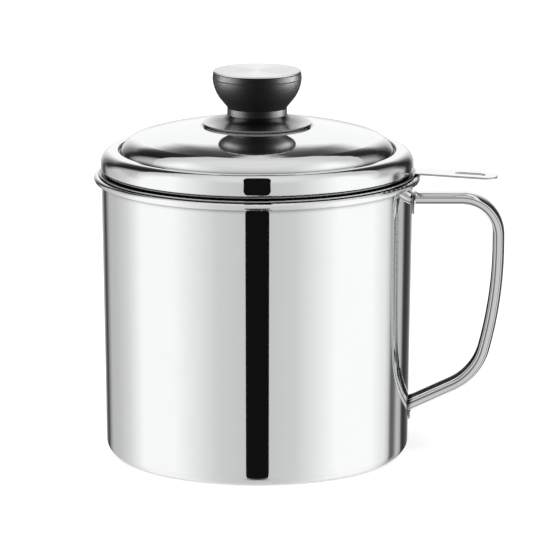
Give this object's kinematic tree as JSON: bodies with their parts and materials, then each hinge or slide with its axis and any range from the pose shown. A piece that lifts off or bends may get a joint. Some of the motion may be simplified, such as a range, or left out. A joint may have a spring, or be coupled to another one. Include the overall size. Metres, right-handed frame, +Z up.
{
  "type": "bacon grease container",
  "caption": "Round steel grease pot with rolled rim and strap handle, a lift-out mesh strainer with a tab, and a domed lid with a black knob.",
  "frame": {"origin": "centre of the underside of the base, on the surface that the pot stands on", "axes": "+Z up along the axis of the pot, +X towards the handle and the strainer's tab, +Y away from a viewer who has the handle at the right"},
  "size_m": [0.1512, 0.12, 0.1428],
  "materials": {
    "polished_steel": "mirror-polished stainless steel",
    "satin_steel": "satin stainless steel",
    "woven_wire": "fine woven stainless wire",
    "black_bakelite": "black moulded bakelite, semi-gloss",
    "brass": "turned brass"
  },
  "bodies": {
    "pot": {"pot_shell": "polished_steel", "handle_strap": "polished_steel"},
    "strainer": {"strainer_frame": "polished_steel", "strainer_mesh": "woven_wire", "strainer_clamp_ring": "satin_steel"},
    "lid": {"lid_shell": "polished_steel", "knob_skirt": "polished_steel", "knob_collar": "black_bakelite", "knob_grip": "black_bakelite", "knob_cap": "black_bakelite", "knob_disc": "satin_steel", "knob_insert": "brass", "knob_screw": "satin_steel", "knob_flat_washer": "satin_steel", "knob_lock_washer": "satin_steel"}
  },
  "joints": [
    {"name": "strainer_lift", "type": "slide", "parent": "pot", "child": "strainer", "axis": [0, 0, 1], "range_m": [0, 0.06]},
    {"name": "lid_lift", "type": "slide", "parent": "strainer", "child": "lid", "axis": [0, 0, 1], "range_m": [0, 0.06]}
  ]
}
